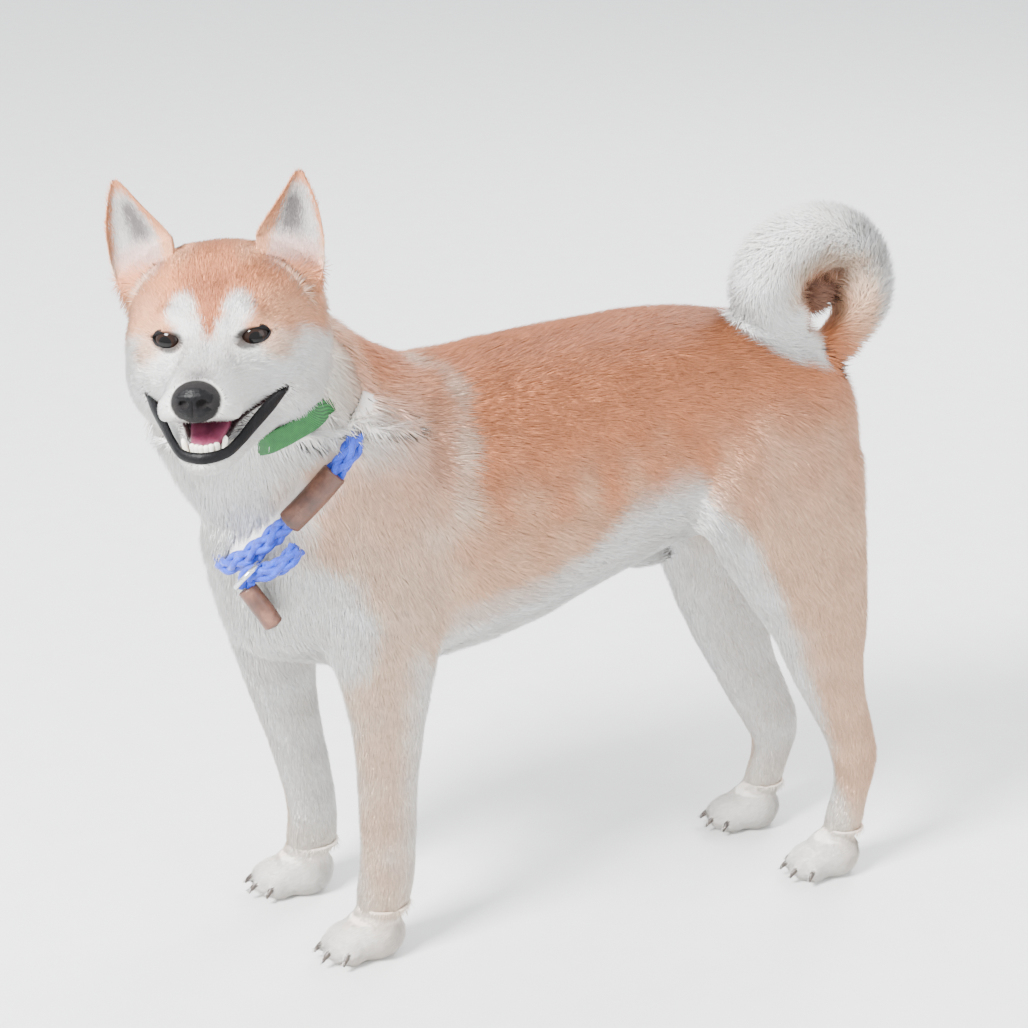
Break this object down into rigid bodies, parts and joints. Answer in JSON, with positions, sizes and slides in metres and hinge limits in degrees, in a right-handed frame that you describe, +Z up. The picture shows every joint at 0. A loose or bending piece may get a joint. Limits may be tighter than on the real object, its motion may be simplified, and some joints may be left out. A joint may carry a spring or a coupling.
{
  "type": "dog, shiba inu",
  "caption": "Red shiba inu standing with its head turned to its left, mouth open and tail curled over its back, in a green collar and a blue rope slip collar with leather fittings.",
  "frame": {"origin": "middle of the bounding box at floor level, under the soles of the paws", "axes": "-Y towards the dog's chest, the way it stands; +X towards its own left side; +Z up"},
  "size_m": [0.2366, 0.5292, 0.5305],
  "materials": {
    "coat": "short dense double coat, red above and cream below",
    "eye": "wet dark brown",
    "dark_skin": "black, fine pebbled, slightly moist",
    "tongue": "moist, mauve pink",
    "teeth": "glossy ivory",
    "claw": "dark horn",
    "collar_web": "bright green webbing",
    "rope": "blue braided rope",
    "leather": "smooth brown",
    "ring": "polished"
  },
  "bodies": {
    "root": {"head": "coat", "jaw": "coat", "ear_left": "coat", "ear_right": "coat", "neck": "coat", "chest": "coat", "loin": "coat", "tail_root": "coat", "tail_middle": "coat", "tail_end": "coat", "upper_arm_left": "coat", "upper_arm_right": "coat", "forearm_left": "coat", "forearm_right": "coat", "paw_front_left": "coat", "paw_front_right": "coat", "thigh_left": "coat", "thigh_right": "coat", "shank_left": "coat", "shank_right": "coat", "paw_hind_left": "coat", "paw_hind_right": "coat", "eye_left": "eye", "eye_right": "eye", "lids_left": "dark_skin", "lids_right": "dark_skin", "nose": "dark_skin", "lip": "dark_skin", "tongue": "tongue", "teeth_lower": "teeth", "collar": "collar_web", "rope": "rope", "strand": "rope", "sleeve": "leather", "ferrule": "leather", "ring": "ring"}
  },
  "joints": []
}
